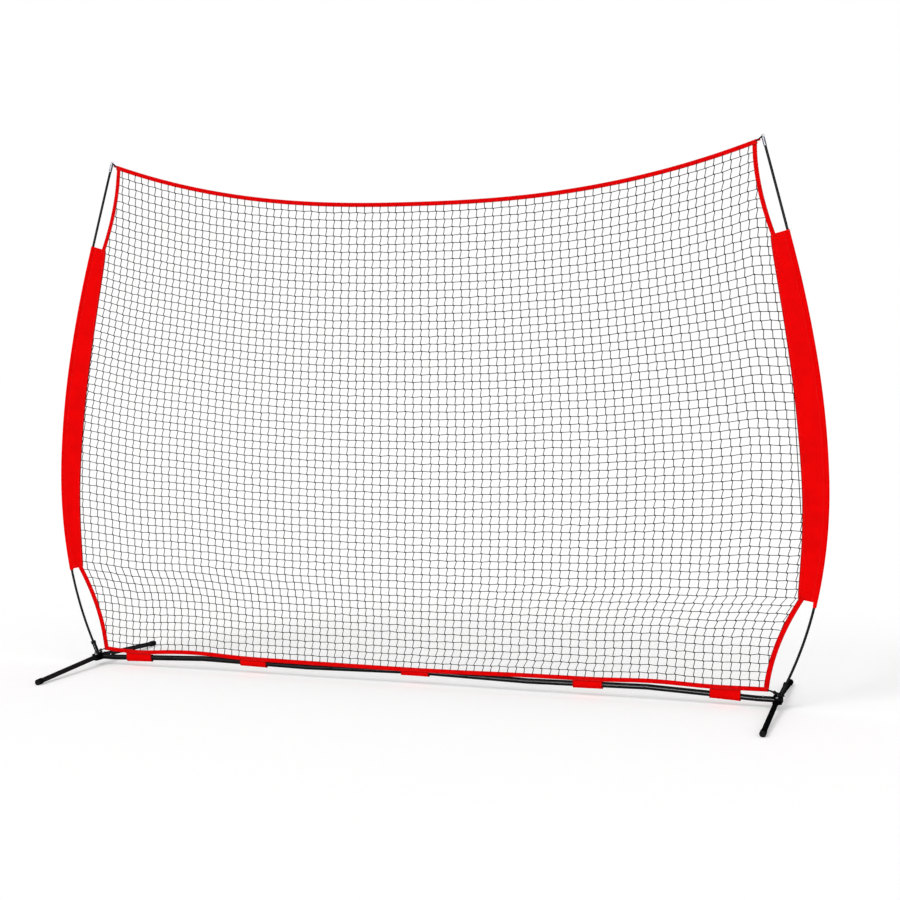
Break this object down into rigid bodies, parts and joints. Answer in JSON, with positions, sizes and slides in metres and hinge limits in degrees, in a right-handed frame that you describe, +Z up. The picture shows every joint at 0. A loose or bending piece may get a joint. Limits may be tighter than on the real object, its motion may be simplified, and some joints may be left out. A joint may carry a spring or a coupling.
{
  "type": "pitching target net",
  "caption": "Free-standing sports net: a black mesh panel with red webbing edges, stretched between two bowed black poles in red sleeves, on a jointed base bar with two folding feet.",
  "frame": {"origin": "on the floor, midway between the two feet, under the base bar's axis", "axes": "+X along the base bar to the right foot, -Y to the side the net is seen from, +Z up"},
  "size_m": [4.1252, 1.2434, 2.7343],
  "materials": {
    "black_coated_steel": "satin",
    "coupling_steel": "satin",
    "black_rubber": "matte",
    "zinc_plated_steel": "satin",
    "spring_steel": "satin",
    "white_nylon": "matte",
    "black_fibreglass": "satin",
    "aluminium": "satin",
    "black_elastic": "matte",
    "black_net_cord": "matte",
    "red_webbing": "matte",
    "red_cloth": "matte"
  },
  "bodies": {
    "frame": {"left_hub": "black_coated_steel", "right_hub": "black_coated_steel", "left_outer_bar": "black_coated_steel", "left_second_bar": "black_coated_steel", "left_inner_bar": "black_coated_steel", "right_inner_bar": "black_coated_steel", "right_second_bar": "black_coated_steel", "right_outer_bar": "black_coated_steel", "bar_ferrules": "coupling_steel", "base_cord": "black_elastic", "base_cord_plugs": "black_rubber", "left_button_spring": "spring_steel", "right_button_spring": "spring_steel", "pivot_bolts": "zinc_plated_steel", "pivot_nuts": "zinc_plated_steel", "pivot_washers": "white_nylon", "socket_collars": "black_rubber", "pole_feet": "black_rubber", "left_pole_rod_1": "black_fibreglass", "left_pole_rod_2": "black_fibreglass", "left_pole_rod_3": "black_fibreglass", "left_pole_rod_4": "black_fibreglass", "left_pole_rod_5": "black_fibreglass", "right_pole_rod_1": "black_fibreglass", "right_pole_rod_2": "black_fibreglass", "right_pole_rod_3": "black_fibreglass", "right_pole_rod_4": "black_fibreglass", "right_pole_rod_5": "black_fibreglass", "left_pole_ferrules": "aluminium", "right_pole_ferrules": "aluminium", "left_pole_cord": "black_elastic", "right_pole_cord": "black_elastic", "left_pole_tip": "aluminium", "right_pole_tip": "aluminium", "net_mesh": "black_net_cord", "top_border": "red_webbing", "bottom_border": "red_webbing", "left_upper_border": "red_webbing", "left_lower_border": "red_webbing", "right_upper_border": "red_webbing", "right_lower_border": "red_webbing", "left_sleeve": "red_cloth", "right_sleeve": "red_cloth", "base_tabs": "red_cloth", "top_loops": "black_elastic", "bottom_loops": "black_elastic"},
    "left_front_leg": {"left_front_leg": "black_coated_steel", "left_front_cap": "black_rubber"},
    "left_rear_leg": {"left_rear_leg": "black_coated_steel", "left_rear_cap": "black_rubber"},
    "right_front_leg": {"right_front_leg": "black_coated_steel", "right_front_cap": "black_rubber"},
    "right_rear_leg": {"right_rear_leg": "black_coated_steel", "right_rear_cap": "black_rubber"},
    "left_bar_button": {"left_bar_button": "spring_steel"},
    "right_bar_button": {"right_bar_button": "spring_steel"}
  },
  "joints": [
    {"name": "left_front_leg_fold", "type": "hinge", "parent": "frame", "child": "left_front_leg", "pos_m": [-1.834, -0.036, 0.045], "axis": [0, 0, 1], "range_deg": [0, 90]},
    {"name": "left_rear_leg_fold", "type": "hinge", "parent": "frame", "child": "left_rear_leg", "pos_m": [-1.834, 0.036, 0.045], "axis": [0, 0, -1], "range_deg": [0, 90]},
    {"name": "right_front_leg_fold", "type": "hinge", "parent": "frame", "child": "right_front_leg", "pos_m": [1.834, -0.036, 0.045], "axis": [0, 0, -1], "range_deg": [0, 90]},
    {"name": "right_rear_leg_fold", "type": "hinge", "parent": "frame", "child": "right_rear_leg", "pos_m": [1.834, 0.036, 0.045], "axis": [0, 0, 1], "range_deg": [0, 90]},
    {"name": "left_button_press", "type": "slide", "parent": "frame", "child": "left_bar_button", "axis": [0, 0, -1], "range_m": [0, 0.005], "stiffness_N_per_m": 600, "springref_m": -0.006, "deforming": ["left_button_spring"]},
    {"name": "right_button_press", "type": "slide", "parent": "frame", "child": "right_bar_button", "axis": [0, 0, -1], "range_m": [0, 0.005], "stiffness_N_per_m": 600, "springref_m": -0.006, "deforming": ["right_button_spring"]}
  ]
}
